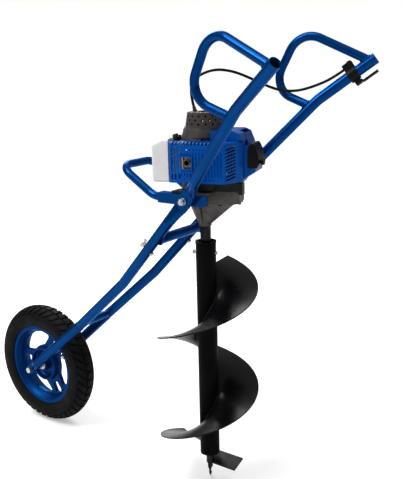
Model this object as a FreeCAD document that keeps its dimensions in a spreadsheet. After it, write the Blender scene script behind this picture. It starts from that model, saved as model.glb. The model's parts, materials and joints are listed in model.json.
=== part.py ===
import FreeCAD, Part
import math
import os

from FreeCAD import Placement, Rotation, Vector

# Petrol earth auger on a single-wheel push frame. Millimetres.
# +X runs from the wheel towards the operator, +Y to the operator's right, +Z up.
# The origin is the point of the pilot tip, on the ground under the auger's axis.

X, Y, Z = Vector(1, 0, 0), Vector(0, 1, 0), Vector(0, 0, 1)
NEAR, FAR = -1, 1

SIZES = {
    # frame tubes
    "arm_diameter": 32, "arm_wall": 2, "loop_diameter": 25, "loop_wall": 2,
    "leg_diameter": 34, "crossbar_diameter": 30, "bridge_diameter": 25,
    "paddle_width": 42, "paddle_thick": 8,
    # where the arms bend: distance along X, half spacing in Y, height
    "axle_x": -733, "axle_y": 82,
    "neck_x": -486, "neck_y": 66, "neck_z": 426,
    "knee_x": -268, "knee_y": 78, "knee_z": 614,
    "pivot_x": 8, "pivot_y": 111, "pivot_z": 908,
    "elbow_x": 252, "elbow_y": 211, "elbow_z": 1173,
    "grip_x": 402, "grip_y": 271, "grip_z": 1289,
    "joint_fraction": 0.384, "spigot_length": 62,
    # wheel
    "tyre_radius": 217, "tyre_section": 45, "tyre_wall": 7, "rim_radius": 147, "rim_width": 66,
    "hub_radius": 30, "hub_width": 62, "hub_cup_radius": 54, "bearing_radius": 17.5, "axle_radius": 6,
    # tilting cradle
    "rail_inner_y": 66, "rail_size": 30, "rail_front": -100, "rail_back": 60,
    "rail_wall": 2.3, "bumper_diameter": 25, "bumper_wall": 2,
    "bumper_x": -252, "bumper_z": 988, "bumper_y": 81,
    # power head, turned about the auger's axis
    "head_yaw": 17,
    "case_bottom": 895, "case_top": 923, "plate_top": 928, "clutch_top": 955,
    "cover_bottom": 958, "cover_top": 1073, "crankcase_top": 1108, "recoil_top": 1150,
    "nose_bottom": 818, "shaft_radius": 16,
    # gear train: module and teeth of both stages, and the lay shaft's offset
    "gear_module": 1.5, "wheel_teeth": 48, "pinion_teeth": 12,
    # auger
    "stem_radius": 30.5, "stem_bottom": 82, "stem_top": 771, "stem_wall": 4,
    "flight_radius": 155, "flight_pitch": 322, "flight_thick": 4,
    "flight_start": 100, "flight_end": -560, "flight_level": 594.6,
    "cable_diameter": 8,
    "bolt_radius": 6, "running_gap": 0.05,
}

doc = FreeCAD.newDocument("earth_auger")
sheet = doc.addObject("Spreadsheet::Sheet", "sizes")
for row, (alias, number) in enumerate(SIZES.items(), start=1):
    sheet.set(f"A{row}", alias)
    sheet.set(f"B{row}", str(number))
    sheet.setAlias(f"B{row}", alias)
doc.recompute()

parts = []


def size(alias):
    return float(sheet.get(alias))


def keep(label, obj):
    """Give an object the sub-part's name and list it for export."""
    obj.Label = label
    parts.append(obj)
    return obj


def feature(label, shape, placement=None):
    """A sub-part whose shape is worked out here from the sheet's sizes."""
    obj = doc.addObject("Part::Feature", "shape_" + label)
    obj.Shape = shape
    if placement is not None:
        obj.Placement = placement * obj.Placement
    return keep(label, obj)


def bound(kind, name, placement=None, **expressions):
    """A Part primitive with its sizes bound to the sheet."""
    obj = doc.addObject(kind, name)
    for prop, text in expressions.items():
        obj.setExpression(prop, text)
    if placement is not None:
        obj.Placement = placement
    return obj


def cut(name, base, tool):
    obj = doc.addObject("Part::Cut", name)
    obj.Base = base
    obj.Tool = tool
    return obj


def fuse(name, pieces):
    obj = doc.addObject("Part::MultiFuse", name)
    obj.Shapes = pieces
    return obj


def along(axis, at):
    """Placement at a point, with local +Z turned onto an axis."""
    return Placement(at, Rotation(Z, axis))


def cylinder(radius, start, end):
    return Part.makeCylinder(radius, (end - start).Length, start, end - start)


def prism(points, low, high):
    """Upright prism over a plan outline."""
    outline = [Vector(px, py, low) for px, py in points]
    face = Part.Face(Part.makePolygon(outline + outline[:1]))
    return face.extrude(Vector(0, 0, high - low))


def block(low, high):
    span = high - low
    return Part.makeBox(span.x, span.y, span.z, low)


def bend_path(points, radii):
    """Straight runs joined by tangent arcs, one radius for each inner point."""
    edges = []
    start = points[0]
    for before, corner, after, radius in zip(points, points[1:], points[2:], radii):
        back = (before - corner).normalize()
        ahead = (after - corner).normalize()
        half_turn = (math.pi - back.getAngle(ahead)) / 2
        reach = radius * math.tan(half_turn)
        middle = (back + ahead).normalize()
        centre = corner + middle * (radius / math.cos(half_turn))
        first, last = corner + back * reach, corner + ahead * reach
        edges.append(Part.LineSegment(start, first).toShape())
        edges.append(Part.Arc(first, centre - middle * radius, last).toShape())
        start = last
    edges.append(Part.LineSegment(start, points[-1]).toShape())
    return Part.Wire(edges)


def rod(points, radii, radius):
    """Solid round bar along a bent path."""
    path = bend_path(points, radii)
    ring = Part.Wire(Part.makeCircle(radius, points[0], points[1] - points[0]))
    return path.makePipeShell([ring], True, False)


def tube(points, radii, outer, wall):
    """Open-ended round tube along a bent path."""
    return rod(points, radii, outer).cut(rod(points, radii, outer - wall))


def mirror_side(shape, side):
    """Shapes are drawn on the far side; the near one is its mirror image."""
    return shape if side == FAR else shape.mirror(Vector(0, 0, 0), Y)


# ---------------------------------------------------------------- frame

ARM = size("arm_diameter") / 2
WALL = size("arm_wall")
BOLT = size("bolt_radius")
GAP = size("running_gap")

axle = Vector(size("axle_x"), size("axle_y"), size("tyre_radius"))
neck = Vector(size("neck_x"), size("neck_y"), size("neck_z"))
knee = Vector(size("knee_x"), size("knee_y"), size("knee_z"))
pivot = Vector(size("pivot_x"), size("pivot_y"), size("pivot_z"))
elbow = Vector(size("elbow_x"), size("elbow_y"), size("elbow_z"))
grip = Vector(size("grip_x"), size("grip_y"), size("grip_z"))
joint = knee + (pivot - knee) * size("joint_fraction")

KNEE_BEND, ELBOW_BEND, LOOP_BEND, LOOP_TOP_BEND = 120, 140, 60, 68


def flattened(toward, bolt_y, tube_start):
    """Squashed tube end: a flat eye on the pivot bolt, drawn out to the round tube."""
    half, thick = size("paddle_width") / 2, size("paddle_thick")
    eye = Vector(pivot.x, bolt_y, pivot.z)
    run = Vector(toward.x - pivot.x, 0, toward.z - pivot.z).normalize()
    shoulder = eye + run * 30
    side = Y * (thick / 2)
    disc = cylinder(half, eye - side, eye + side)
    across = Y.cross(run).normalize() * half
    corners = [eye + across, eye - across, shoulder - across, shoulder + across]
    strap = Part.Face(Part.makePolygon([c - side for c in corners + corners[:1]]))
    flat = disc.fuse(strap.extrude(Y * thick)).removeSplitter()
    oval = Part.Ellipse(shoulder + across, shoulder + side, shoulder)
    oval_wire = Part.Wire(oval.toShape())
    circle = Part.makeCircle(ARM, tube_start, toward - tube_start)
    taper = Part.makeLoft([oval_wire, Part.Wire(circle)], True)
    hole = cylinder(BOLT, eye - Y * 30, eye + Y * 30)
    return flat.fuse(taper).cut(hole)


def handle_tube():
    """Upper arm: flat eye at the pivot, elbow, open hand end."""
    start = pivot + (elbow - pivot).normalize() * 92
    body = tube([start, elbow, grip], [ELBOW_BEND], ARM, WALL)
    return body.fuse(flattened(elbow, pivot.y, start))


def handle_envelope():
    start = pivot + (elbow - pivot).normalize() * 92
    return rod([start, elbow, grip], [ELBOW_BEND], ARM)


def handle_loop():
    """D-shaped hand loop in smaller tube, mitred onto the upper arm at both ends."""
    low = elbow + (pivot - elbow) * 0.066
    high = elbow + (grip - elbow) * 0.92
    points = [low, Vector(105, 206, 1204), Vector(189, 222, 1373), high]
    radius = size("loop_diameter") / 2
    loop = tube(points, [LOOP_BEND, LOOP_TOP_BEND], radius, size("loop_wall"))
    trimmed = loop.cut(handle_envelope())
    return max(trimmed.Solids, key=lambda solid: solid.Volume)


def main_tube():
    """Lower arm: flat eye inside the handle tube's eye, open end at the joint."""
    inner_y = pivot.y - size("paddle_thick") - 0.5
    start = pivot + (knee - pivot).normalize() * 92
    body = tube([start, joint], [], ARM, WALL)
    return body.fuse(flattened(knee, inner_y, start)).cut(joint_hole())


def joint_across():
    """Direction of the joint bolt: square to the tube, pointing down and back."""
    run = (pivot - knee).normalize()
    return Y.cross(run).normalize()


def joint_bolt_centre():
    return joint + (pivot - knee).normalize() * 24


def joint_hole():
    centre, across = joint_bolt_centre(), joint_across()
    return cylinder(4, centre - across * 40, centre + across * 40)


def fork_tube():
    """Lower arm's fork side: spigot into the main tube, knee, open neck end."""
    run = (pivot - knee).normalize()
    body = tube([joint, knee, neck], [KNEE_BEND], ARM, WALL).fuse(Part.makeSphere(ARM, neck))
    tip, root = joint + run * size("spigot_length"), joint - run * 30
    spigot = cylinder(ARM - WALL, root, tip).cut(cylinder(ARM - 2 * WALL, root, tip))
    return body.fuse(spigot).cut(joint_hole())


def fork_envelope():
    return rod([joint, knee, neck], [KNEE_BEND], ARM).fuse(Part.makeSphere(ARM, neck))


def fork_leg():
    """Thinner leg from the neck to the axle, with a flat drilled foot."""
    radius = size("leg_diameter") / 2
    run = (axle - neck).normalize()
    inside = neck
    foot_top = axle - run * 46
    leg = cylinder(radius, inside, foot_top).cut(cylinder(radius - 2, inside, foot_top))
    half_foot = Y * 4
    flat_run = Vector(run.x, 0, run.z).normalize()
    shoulder = axle - flat_run * 18
    across = Y.cross(flat_run).normalize() * 16
    oval = Part.Wire(Part.Ellipse(shoulder + across, shoulder + half_foot, shoulder).toShape())
    taper = Part.makeLoft([oval, Part.Wire(Part.makeCircle(radius, foot_top, run))], True)
    eye = cylinder(16, axle - half_foot, axle + half_foot)
    corners = [axle + across, axle - across, shoulder - across, shoulder + across]
    strap = Part.Face(Part.makePolygon([c - half_foot for c in corners + corners[:1]]))
    foot = eye.fuse(strap.extrude(Y * 8)).fuse(taper)
    whole = leg.fuse(foot).cut(cylinder(size("axle_radius"), axle - Y * 20, axle + Y * 20))
    trimmed = whole.cut(fork_envelope())
    return max(trimmed.Solids, key=lambda solid: solid.Volume)


for side, name in ((NEAR, "near"), (FAR, "far")):
    feature(name + "_handle_tube", mirror_side(handle_tube(), side))
    feature(name + "_handle_loop", mirror_side(handle_loop(), side))
    feature(name + "_main_tube", mirror_side(main_tube(), side))
    feature(name + "_fork_tube", mirror_side(fork_tube(), side))
    feature(name + "_fork_leg", mirror_side(fork_leg(), side))


def crossbar():
    """Straight tube between the main tubes, mitred to them."""
    fraction = (-98 - knee.x) / (pivot.x - knee.x)
    spot = knee + (pivot - knee) * fraction
    low, high = Vector(-98, -spot.y, 782), Vector(-98, spot.y, 782)
    radius = size("crossbar_diameter") / 2
    bar = cylinder(radius, low, high).cut(cylinder(radius - 2, low, high))
    arm = cylinder(ARM, knee, pivot)
    bar = bar.cut(arm).cut(mirror_side(arm, NEAR))
    return max(bar.Solids, key=lambda solid: solid.Volume)


def fork_bridge():
    """Short tube that ties the two fork tubes together just above the tyre."""
    spot = neck + (knee - neck) * 0.07
    low, high = Vector(spot.x, -spot.y, spot.z), spot
    radius = size("bridge_diameter") / 2
    bar = cylinder(radius, low, high).cut(cylinder(radius - 2, low, high))
    arm = fork_envelope()
    bar = bar.cut(arm).cut(mirror_side(arm, NEAR))
    return max(bar.Solids, key=lambda solid: solid.Volume)


feature("crossbar", crossbar())
feature("fork_bridge", fork_bridge())


def hex_prism(across_flats, start, axis, length):
    radius = across_flats / math.sqrt(3)
    ring = [Vector(radius * math.cos(math.radians(a)), radius * math.sin(math.radians(a)), 0)
            for a in range(0, 360, 60)]
    solid = Part.Face(Part.makePolygon(ring + ring[:1])).extrude(Z * length)
    solid.Placement = along(axis, start)
    return solid


def both_sides(shape):
    return Part.makeCompound([shape, mirror_side(shape, NEAR)])


def joint_bolt():
    centre, across = joint_bolt_centre(), joint_across()
    shank = cylinder(4, centre - across * (ARM + 12), centre + across * ARM)
    return shank.fuse(hex_prism(13, centre + across * ARM, across, 5.5))


def wing_nut():
    centre, across = joint_bolt_centre(), joint_across()
    seat = centre - across * ARM
    boss = cylinder(7, seat, seat - across * 8)
    wing = block(Vector(-16, -1.5, 4), Vector(16, 1.5, 15))
    ears = wing.cut(block(Vector(-7, -2, 8), Vector(7, 2, 16)))
    ears.Placement = along(across * -1, seat)
    return boss.fuse(ears).cut(cylinder(4, centre - across * 50, centre))


feature("joint_bolts", both_sides(joint_bolt()))
feature("wing_nuts", both_sides(wing_nut()))

rail_in = size("rail_inner_y")
rail_out = rail_in + size("rail_size")
eye_out = pivot.y + size("paddle_thick") / 2
nut_face = eye_out + 2.5


def pivot_bolt():
    """Cradle bolt: head inside the rail, thread out through both flat eyes."""
    inner = Vector(pivot.x, rail_in - 0.5, pivot.z)
    outer = Vector(pivot.x, nut_face + 14, pivot.z)
    return cylinder(BOLT, inner, outer).fuse(hex_prism(19, inner, Y * -1, 7))


def pivot_nut():
    nut = hex_prism(17, Vector(pivot.x, nut_face, pivot.z), Y, 9)
    washer = cylinder(10.5, Vector(pivot.x, eye_out, pivot.z), Vector(pivot.x, nut_face, pivot.z))
    hole = cylinder(BOLT, Vector(pivot.x, 0, pivot.z), Vector(pivot.x, 200, pivot.z))
    return nut.fuse(washer).cut(hole)


feature("pivot_bolts", both_sides(pivot_bolt()))

axle_mid = Vector(axle.x, 0, axle.z)
AXLE = size("axle_radius")
foot_out = axle.y + 4
hub_half = size("hub_width") / 2

axle_bolt = cylinder(AXLE, axle_mid + Y * -foot_out, axle_mid + Y * (foot_out + 16))
axle_head = hex_prism(19, axle_mid - Y * foot_out, Y * -1, 9)
feature("axle_bolt", axle_bolt.fuse(axle_head))
axle_nut = hex_prism(19, axle_mid + Y * foot_out, Y, 11).cut(cylinder(AXLE, axle_mid, axle_mid + Y * 200))
feature("hex_nuts", Part.makeCompound([pivot_nut(), mirror_side(pivot_nut(), NEAR), axle_nut]))


def axle_spacer(side):
    low = axle_mid + Y * (side * (hub_half + 1))
    high = axle_mid + Y * (side * (axle.y - 4))
    return cylinder(10, low, high).cut(cylinder(AXLE, low, high))


feature("axle_spacers", Part.makeCompound([axle_spacer(NEAR), axle_spacer(FAR)]))

# ---------------------------------------------------------------- throttle on the far arm

arm_run = (grip - elbow).normalize()
arm_up = Vector(-arm_run.z, 0, arm_run.x).normalize()
arm_side = arm_up.cross(arm_run).normalize()
clamp_at = elbow + arm_run * 123
lever_pin = clamp_at + arm_up * (-ARM - 12)


def arm_block(low, high):
    """Box in the upper arm's own directions: along it, across it, above it."""
    box = block(low, high)
    turn = FreeCAD.Matrix(arm_run.x, arm_side.x, arm_up.x, clamp_at.x,
                          arm_run.y, arm_side.y, arm_up.y, clamp_at.y,
                          arm_run.z, arm_side.z, arm_up.z, clamp_at.z, 0, 0, 0, 1)
    box.Placement = Placement(turn)
    return box


def throttle_clamp():
    """Ring on the arm with the cable and switch housing above it and lever ears below."""
    ring = cylinder(ARM + 5, clamp_at - arm_run * 14, clamp_at + arm_run * 14)
    housing = arm_block(Vector(-14, -11, ARM), Vector(16, 11, ARM + 20))
    ears = arm_block(Vector(-8, -9, -ARM - 18), Vector(10, 9, -ARM))
    slot = arm_block(Vector(-12, -4.5, -ARM - 20), Vector(14, 4.5, -ARM - 5.2))
    well = arm_block(Vector(2, -5.2, ARM + 12), Vector(12.4, 5.2, ARM + 21))
    body = ring.fuse(housing).fuse(ears).cut(slot).cut(well)
    pin_hole = cylinder(2, lever_pin - arm_side * 20, lever_pin + arm_side * 20)
    return body.cut(cylinder(ARM, clamp_at - arm_run * 30, clamp_at + arm_run * 30)).cut(pin_hole)


def throttle_lever():
    """Finger lever under the arm, on its own pin between the clamp's ears."""
    root = arm_block(Vector(-4, -4, -ARM - 17), Vector(14, 4, -ARM - 9))
    blade = arm_block(Vector(12, -6, -ARM - 20), Vector(62, 6, -ARM - 14))
    pin = cylinder(2 - GAP, lever_pin - arm_side * 9, lever_pin + arm_side * 9)
    return root.fuse(blade).fuse(pin)


feature("throttle_clamp", throttle_clamp())
feature("throttle_lever", throttle_lever())
feature("stop_button", arm_block(Vector(2.6, -4.6, ARM + 16), Vector(11.8, 4.6, ARM + 24)))

# ---------------------------------------------------------------- wheel

wheel_place = Placement(axle_mid, Rotation(X, -90))


def wheel_ring(radius, low, high, bore):
    """Ring about the axle, between two distances from the wheel's mid-plane."""
    start, end = axle_mid + Y * low, axle_mid + Y * high
    return cylinder(radius, start, end).cut(cylinder(bore, start, end))


def tyre():
    """Hollow round-section carcass standing on the rim's two flanges."""
    section, wall = size("tyre_section"), size("tyre_wall")
    bead = size("rim_radius")
    middle = size("tyre_radius") - section

    def spot(radius, across):
        return axle_mid + Z * radius + Y * across

    def foot(radius):
        return math.sqrt(radius ** 2 - (middle - bead) ** 2)

    outer, inner = foot(section), foot(section - wall)
    edges = [Part.Arc(spot(bead, -outer), spot(middle + section, 0), spot(bead, outer)).toShape(),
             Part.LineSegment(spot(bead, outer), spot(bead, inner)).toShape(),
             Part.Arc(spot(bead, inner), spot(middle + section - wall, 0), spot(bead, -inner)).toShape(),
             Part.LineSegment(spot(bead, -inner), spot(bead, -outer)).toShape()]
    return Part.Face(Part.Wire(edges)).revolve(axle_mid, Y, 360)


def sketch_in(body, name, role):
    plane = next(f for f in body.Origin.OriginFeatures if f.Role == role)
    sketch = body.newObject("Sketcher::SketchObject", name)
    sketch.AttachmentSupport = [(plane, "")]
    sketch.MapMode = "FlatFace"
    return sketch


def polyline(sketch, points):
    for start, end in zip(points, points[1:] + points[:1]):
        sketch.addGeometry(Part.LineSegment(Vector(*start, 0), Vector(*end, 0)), False)


def polar(radius, degrees):
    turned = math.radians(degrees)
    return radius * math.cos(turned), radius * math.sin(turned)


def rounded_outline(sketch, corners, radii):
    """Closed outline of straight sides joined by tangent arcs, one radius for each corner."""
    points = [Vector(*corner, 0) for corner in corners]
    joints = []
    earlier, later = points[-1:] + points[:-1], points[1:] + points[:1]
    for before, corner, after, radius in zip(earlier, points, later, radii):
        back, ahead = (before - corner).normalize(), (after - corner).normalize()
        half_turn = (math.pi - back.getAngle(ahead)) / 2
        reach = radius * math.tan(half_turn)
        middle = (back + ahead).normalize()
        top = corner + middle * (radius / math.cos(half_turn) - radius)
        joints.append((corner + back * reach, top, corner + ahead * reach))
    for here, following in zip(joints, joints[1:] + joints[:1]):
        sketch.addGeometry(Part.Arc(*here), False)
        sketch.addGeometry(Part.LineSegment(here[2], following[0]), False)


def build_rim():
    """Cast rim: barrel with bead seats, web disc with windows and forked spokes, hub."""
    rim, half = size("rim_radius"), size("rim_width") / 2
    hub, hub_w, seat = size("hub_radius"), size("hub_width") / 2, size("bearing_radius")
    cup = size("hub_cup_radius")
    body = doc.addObject("PartDesign::Body", "rim_body")
    profile = sketch_in(body, "rim_profile", "XZ_Plane")
    # radius from the axle along the sketch's x, distance from the mid-plane along its y
    polyline(profile, [
        (seat, -hub_w), (seat + 7, -hub_w), (seat + 8, -6), (cup - 4, -4), (cup, -8), (cup, -24),
        (cup + 6, -24), (cup + 10, -8), (122, -6), (126, -18), (132, -28),
        (134, -half), (rim, -half), (rim, -half + 4), (rim - 6.5, -half + 4),
        (rim - 9, -16), (rim - 18, -9), (rim - 18, 9), (rim - 9, 16),
        (rim - 6.5, half - 4), (rim, half - 4), (rim, half), (134, half), (132, 28),
        (126, 18), (122, 6), (hub + 4, 8), (hub, hub_w), (seat, hub_w)])
    turn = body.newObject("PartDesign::Revolution", "rim_turned")
    turn.Profile = profile
    turn.ReferenceAxis = (profile, ["V_Axis"])
    turn.Angle = 360
    doc.recompute()
    full = body.Shape.Volume

    windows = sketch_in(body, "rim_windows", "XY_Plane")
    inner, outer = size("hub_cup_radius") + 17, 121
    for middle in (0, 120, 240):
        corners = [polar(inner, middle - 28), polar(outer - 7, middle - 44), polar(outer, middle - 27),
                   polar(outer + 4, middle), polar(outer, middle + 27), polar(outer - 7, middle + 44),
                   polar(inner, middle + 28), polar(inner - 3, middle)]
        rounded_outline(windows, corners, [7, 12, 60, 90, 60, 12, 7, 40])
    for middle in (60, 180, 300):
        out = Vector(*polar(1, middle), 0)
        perp = Vector(-out.y, out.x, 0)
        corners = [out * 77 + perp * 12, out * 119 + perp * 16, out * 119 - perp * 16, out * 77 - perp * 12]
        rounded_outline(windows, [(c.x, c.y) for c in corners], [8, 12, 12, 8])
    pocket = body.newObject("PartDesign::Pocket", "rim_cut")
    pocket.Profile = windows
    pocket.Type = 1
    pocket.Midplane = True
    doc.recompute()
    if pocket.Shape.Volume > full - 1000:
        raise SystemExit("the rim's windows cut nothing")
    body.Placement = wheel_place
    return keep("rim", body)


feature("tyre", tyre())
build_rim()
BEARING = size("bearing_radius")
bearing_width = 10
feature("wheel_bearings", Part.makeCompound([
    wheel_ring(BEARING, -hub_half, -hub_half + bearing_width, AXLE + GAP),
    wheel_ring(BEARING, hub_half - bearing_width, hub_half, AXLE + GAP)]))


def valve_stem():
    """Rubber valve through the rim barrel, leaning towards the near side."""
    foot = axle_mid + Vector(-62, 0, -109.6)
    lean = Vector(0.42, -0.42, 0.8).normalize()
    return cylinder(3.5, foot - lean * 1, foot + lean * 30)


feature("valve_stem", valve_stem().cut(doc.getObject("rim_body").Shape))

# ---------------------------------------------------------------- tilting cradle


def rail(side, name):
    """Square tube on one side of the gearbox, drilled for the pivot bolt."""
    outer = bound("Part::Box", name + "_rail_outer",
                  Length="sizes.rail_back - sizes.rail_front",
                  Width="sizes.rail_size", Height="sizes.rail_size")
    inner = bound("Part::Box", name + "_rail_inner",
                  Length="sizes.rail_back - sizes.rail_front",
                  Width="sizes.rail_size - 2 * sizes.rail_wall",
                  Height="sizes.rail_size - 2 * sizes.rail_wall")
    hole = bound("Part::Cylinder", name + "_rail_hole", Radius="sizes.bolt_radius + sizes.running_gap",
                 Height="sizes.rail_size + 4")
    wall, full = size("rail_wall"), size("rail_size")
    front, low = size("rail_front"), size("pivot_z") - full / 2
    edge = rail_in if side == FAR else -rail_out
    outer.Placement.Base = Vector(front, edge, low)
    inner.Placement.Base = Vector(front - wall, edge + wall, low + wall)
    hole.Placement = along(Y, Vector(pivot.x, edge - 2, pivot.z))
    return keep(name + "_cradle_rail", cut(name + "_rail", outer, fuse(name + "_rail_tools", [inner, hole])))


rail(NEAR, "near")
rail(FAR, "far")


def bumper_bar():
    """U-shaped carry bar, its legs let into the front of the rails."""
    far_y, top, front = size("bumper_y"), size("bumper_z"), size("bumper_x")
    level = size("pivot_z")
    ends = [Vector(-70, far_y, level), Vector(-126, far_y, level), Vector(front, far_y, top)]
    points = ends + [Vector(p.x, -p.y, p.z) for p in reversed(ends)]
    return tube(points, [70, 45, 45, 70], size("bumper_diameter") / 2, size("bumper_wall"))


feature("bumper_bar", bumper_bar())

# ---------------------------------------------------------------- power head

head = Placement(Vector(0, 0, 0), Rotation(Z, size("head_yaw")))
CASE_LOW, CASE_HIGH = size("case_bottom"), size("case_top")
PLATE = size("plate_top")
CLUTCH = size("clutch_top")
COVER_LOW, COVER_HIGH = size("cover_bottom"), size("cover_top")
CRANKCASE, RECOIL = size("crankcase_top"), size("recoil_top")
SHAFT = size("shaft_radius")
LAY = size("gear_module") * (size("wheel_teeth") + size("pinion_teeth")) / 2
stub_radius, lay_radius = 8, 5


def upright(radius, low, high, x=0, y=0):
    return cylinder(radius, Vector(x, y, low), Vector(x, y, high))


def chamfered(x_low, x_high, half_y, chamfer):
    """Plan outline of a block with cut corners."""
    return [(x_low + chamfer, -half_y), (x_high - chamfer, -half_y), (x_high, -half_y + chamfer),
            (x_high, half_y - chamfer), (x_high - chamfer, half_y), (x_low + chamfer, half_y),
            (x_low, half_y - chamfer), (x_low, -half_y + chamfer)]


CASE_BOLTS = [(-47, -26), (96, -25), (96, 25), (-47, 26)]
NOSE_BOLTS = [(-20, -35), (18, -35), (58, -35), (106, 0), (58, 35), (18, 35), (-20, 35)]


def plate_blank():
    edge = rail_in + 12
    return block(Vector(-62, -edge, CASE_HIGH), Vector(size("rail_back") - 2, edge, PLATE))


def cradle_plate():
    """Plate across both rails that carries the gearbox below and the engine above."""
    plate = plate_blank()
    tools = [upright(stub_radius + GAP, CASE_HIGH, PLATE)]
    lay = head.multVec(Vector(LAY, 0, 0))
    tools.append(upright(lay_radius + GAP, CASE_HIGH, PLATE, lay.x, lay.y))
    for x, y in CASE_BOLTS:
        spot = head.multVec(Vector(x, y, 0))
        tools.append(upright(3, CASE_HIGH, PLATE, spot.x, spot.y))
    for tool in tools:
        plate = plate.cut(tool)
    return plate


feature("cradle_plate", cradle_plate())


def gearbox_case():
    """Cast pan that holds the gears, closed by the cradle plate and, behind it, by its own top."""
    plate = plate_blank()
    plate.Placement = head.inverse()
    pan = prism(chamfered(-62, 113, 41, 18), CASE_LOW, PLATE).cut(plate)
    pan = pan.cut(block(Vector(-80, -60, CASE_HIGH), Vector(30, 60, PLATE)))
    cavity = prism(chamfered(-58, 109, 38, 16), CASE_LOW + 4, CASE_HIGH)
    for x, y in CASE_BOLTS:
        cavity = cavity.cut(upright(7, CASE_LOW, CASE_HIGH, x, y))
    pan = pan.cut(cavity).cut(upright(SHAFT + 1, CASE_LOW, CASE_HIGH))
    pan = pan.cut(upright(lay_radius + GAP, CASE_LOW + 1, CASE_HIGH, LAY, 0))
    for x, y in CASE_BOLTS:
        pan = pan.cut(upright(3, CASE_LOW, PLATE, x, y))
    for x, y in NOSE_BOLTS:
        pan = pan.cut(upright(2.5, CASE_LOW, CASE_LOW + 3, x, y))
    return max(pan.Solids, key=lambda solid: solid.Volume)


feature("gearbox_case", gearbox_case(), head)


def gearbox_nose():
    """Cast cone down to the output shaft, ribbed, with two bearing seats."""
    top = [Vector(x, y, CASE_LOW) for x, y in chamfered(-46, 101, 30, 14)]
    neck_level = size("nose_bottom") + 6
    bottom = []
    for x, y in chamfered(-19, 19, 19, 10):
        bottom.append(Vector(x, y, neck_level))
    cone = Part.makeLoft([Part.makePolygon(top + top[:1]), Part.makePolygon(bottom + bottom[:1])],
                         True, True)
    cone = cone.fuse(upright(19, size("nose_bottom"), neck_level + 4))
    for angle in (-100, -10, 80, 170):
        rib = Part.Face(Part.makePolygon([
            Vector(15, 0, neck_level), Vector(24, 0, neck_level + 4),
            Vector(44, 0, CASE_LOW), Vector(15, 0, CASE_LOW), Vector(15, 0, neck_level)]))
        rib = rib.extrude(Y * 6)
        rib.translate(Vector(0, -3, 0))
        rib.rotate(Vector(0, 0, 0), Z, angle)
        cone = cone.fuse(rib)
    cone = cone.cut(upright(SHAFT + 0.6, size("nose_bottom"), CASE_LOW))
    cone = cone.cut(upright(26, CASE_LOW - 15, CASE_LOW)).cut(upright(20, 836, 850))
    flange = prism(chamfered(-40, 111, 40, 20), CASE_LOW - 5, CASE_LOW)
    flange = flange.cut(upright(26, CASE_LOW - 5, CASE_LOW))
    nose = cone.fuse(flange).removeSplitter()
    for x, y in CASE_BOLTS:
        nose = nose.cut(upright(5.4, CASE_LOW - 30, CASE_LOW, x, y))
    for x, y in NOSE_BOLTS:
        nose = nose.cut(upright(2.5, CASE_LOW - 5, CASE_LOW, x, y))
    return nose


feature("gearbox_nose", gearbox_nose(), head)


def output_bearings():
    upper = upright(26, CASE_LOW - 15, CASE_LOW - 3).cut(upright(SHAFT + GAP, 800, CASE_LOW))
    lower = upright(20, 836, 850).cut(upright(SHAFT + GAP, 800, 900))
    return Part.makeCompound([upper, lower])


feature("output_bearings", output_bearings(), head)


def case_bolt(x, y):
    return upright(3, CASE_LOW, PLATE, x, y).fuse(upright(5, CASE_LOW - 6, CASE_LOW, x, y))


def nose_bolt(x, y):
    shank = upright(2.5, CASE_LOW - 5, CASE_LOW + 3, x, y)
    return shank.fuse(upright(4.6, CASE_LOW - 10, CASE_LOW - 5, x, y))


def gearbox_bolts():
    """Socket bolts: four up through the pan into the cradle plate, and those that hold the nose."""
    bolts = [case_bolt(x, y).cut(upright(2.4, CASE_LOW - 7, CASE_LOW - 3, x, y)) for x, y in CASE_BOLTS]
    bolts += [nose_bolt(x, y).cut(upright(2.2, CASE_LOW - 11, CASE_LOW - 7, x, y)) for x, y in NOSE_BOLTS]
    return Part.makeCompound(bolts)


def clutch_housing():
    """Cast housing round the clutch, with a mounting wing to the right."""
    outline = [(0, -46), (86, -46), (108, -30), (108, 26), (86, 38), (0, 38)]
    wing = prism(outline, PLATE, CLUTCH)
    lug = block(Vector(100, -34, PLATE - 9), Vector(125, -12, CLUTCH - 3))
    lug = lug.cut(block(Vector(90, -40, PLATE - 10), Vector(114, 0, PLATE)))
    outer = upright(64, PLATE, CLUTCH).fuse(wing).fuse(lug)
    outer = outer.cut(upright(46, PLATE, CLUTCH - 4)).cut(upright(12, PLATE, CLUTCH))
    pocket = prism([(64, -36), (82, -36), (98, -22), (98, 18), (82, 28), (64, 28)], PLATE, CLUTCH - 4)
    outer = outer.cut(pocket)
    return outer.cut(upright(lay_radius + 1, PLATE, PLATE + 2, LAY, 0))


feature("clutch_housing", clutch_housing(), head)


def crankcase():
    """Upright crankcase with crank chamber, cylinder seat and flywheel housing."""
    low = [(-38, -54), (9, -54), (9, 56), (-38, 56), (-60, 34), (-60, -26)]
    high = [(-34, -49), (9, -49), (9, 50), (-34, 50), (-52, 32), (-52, -24)]
    fan_low, fan_high = COVER_HIGH - 15, CRANKCASE - 4
    rings = [Part.makePolygon([Vector(x, y, level) for x, y in ring + ring[:1]])
             for ring, level in ((low, fan_low), (low, fan_low + 12), (high, fan_high))]
    fan_housing = Part.makeLoft(rings, True, True)
    body = upright(46, CLUTCH, 1080).fuse(upright(56, 1080, CRANKCASE)).fuse(fan_housing)
    seat = cylinder(30, Vector(40, 0, 1015), Vector(50, 0, 1015))
    foot = prism(chamfered(-66, 66, 52, 20), CLUTCH, CLUTCH + 6)
    body = body.fuse(seat).fuse(foot)
    body = body.cut(upright(10 + GAP, CLUTCH, CRANKCASE))
    body = body.cut(upright(34, 992, 1038)).cut(upright(51, 1084, CRANKCASE))
    return body.cut(cylinder(20, Vector(0, 0, 1015), Vector(60, 0, 1015)))


feature("crankcase", crankcase(), head)


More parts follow.
